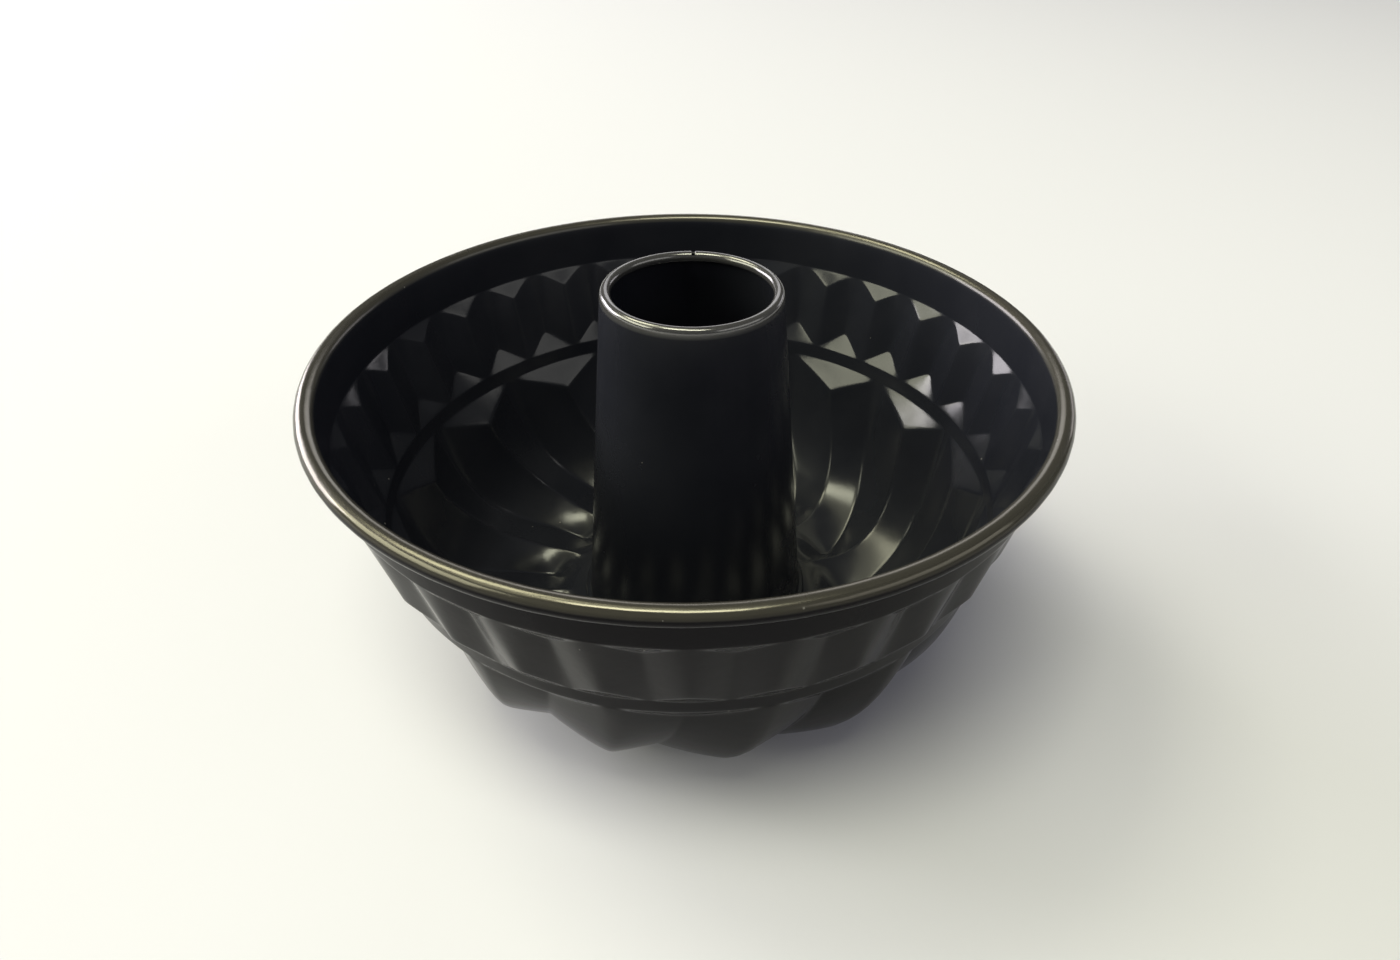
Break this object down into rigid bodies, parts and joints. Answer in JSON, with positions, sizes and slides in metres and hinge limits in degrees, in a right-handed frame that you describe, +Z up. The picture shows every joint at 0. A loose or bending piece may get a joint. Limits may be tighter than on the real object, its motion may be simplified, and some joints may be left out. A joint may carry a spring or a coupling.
{
  "type": "kugelhopf mould",
  "caption": "Round fluted sheet-steel baking mould with a rolled rim, two tiers of folded flutes, a swirled lower bowl and an open conical chimney tube in the middle.",
  "frame": {"origin": "centre of the flat floor ring that the mould stands on", "axes": "+Z up along the chimney's axis, mouth upwards; -Y towards the picture's camera, the chimney's seam near +Y"},
  "size_m": [0.22, 0.22, 0.1209],
  "materials": {
    "shell_coating": "satin non-stick coating, near-black",
    "tube_coating": "satin non-stick coating, near-black"
  },
  "bodies": {
    "root": {"mould_shell": "shell_coating", "chimney_tube": "tube_coating"}
  },
  "joints": []
}
